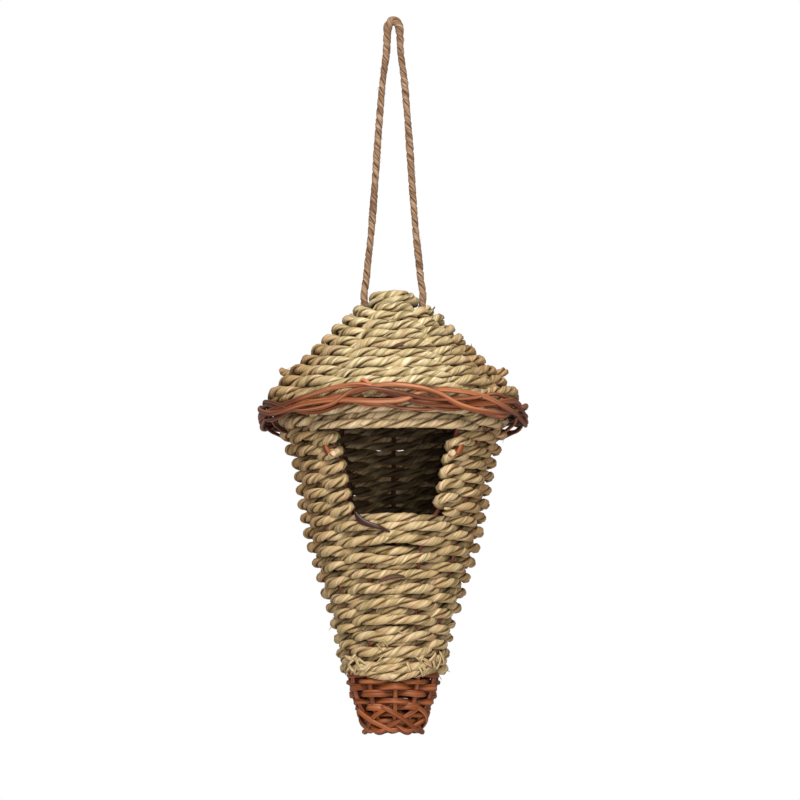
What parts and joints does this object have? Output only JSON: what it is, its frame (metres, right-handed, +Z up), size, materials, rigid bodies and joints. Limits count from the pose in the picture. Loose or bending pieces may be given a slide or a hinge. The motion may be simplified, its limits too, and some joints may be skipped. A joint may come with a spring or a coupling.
{
  "type": "hanging woven bird nest",
  "caption": "Empty hanging nest hut of twisted cord woven on rattan stakes, with a conical roof, front doorway, tapering rattan foot and rope loop",
  "frame": {"origin": "inner apex of the rope loop, where the nest hangs", "axes": "+Z up, the doorway faces -Y, +X to the right when facing the doorway"},
  "size_m": [0.1402, 0.1402, 0.3748],
  "materials": {
    "seagrass_cord": "dry twisted plant fibre, matt",
    "rattan_stakes": "stripped rattan rod, dull",
    "rattan_base": "fine rattan strands, dull",
    "rattan_brim": "orange-brown rattan strands, slight sheen",
    "jute_rope": "two-ply jute, hairy and matt"
  },
  "bodies": {
    "root": {"base_weave": "rattan_base", "body_weave": "seagrass_cord", "bottom_border": "rattan_base", "brim_border_hoop": "rattan_base", "brim_strand_1": "rattan_brim", "brim_strand_2": "rattan_brim", "brim_strand_3": "rattan_brim", "crown_coil": "seagrass_cord", "hanging_rope": "jute_rope", "roof_spoke_01": "rattan_stakes", "roof_spoke_02": "rattan_stakes", "roof_spoke_03": "rattan_stakes", "roof_spoke_04": "rattan_stakes", "roof_spoke_05": "rattan_stakes", "roof_spoke_06": "rattan_stakes", "roof_spoke_07": "rattan_stakes", "roof_spoke_08": "rattan_stakes", "roof_spoke_09": "rattan_stakes", "roof_spoke_10": "rattan_stakes", "roof_spoke_11": "rattan_stakes", "roof_spoke_12": "rattan_stakes", "roof_spoke_13": "rattan_stakes", "roof_weave": "seagrass_cord", "rope_knot": "jute_rope", "stake_01_cut_at_sill": "rattan_stakes", "stake_02": "rattan_stakes", "stake_03": "rattan_stakes", "stake_04": "rattan_stakes", "stake_05": "rattan_stakes", "stake_06": "rattan_stakes", "stake_07": "rattan_stakes", "stake_08": "rattan_stakes", "stake_09": "rattan_stakes", "stake_10": "rattan_stakes", "stake_11": "rattan_stakes", "stake_12": "rattan_stakes"}
  },
  "joints": []
}
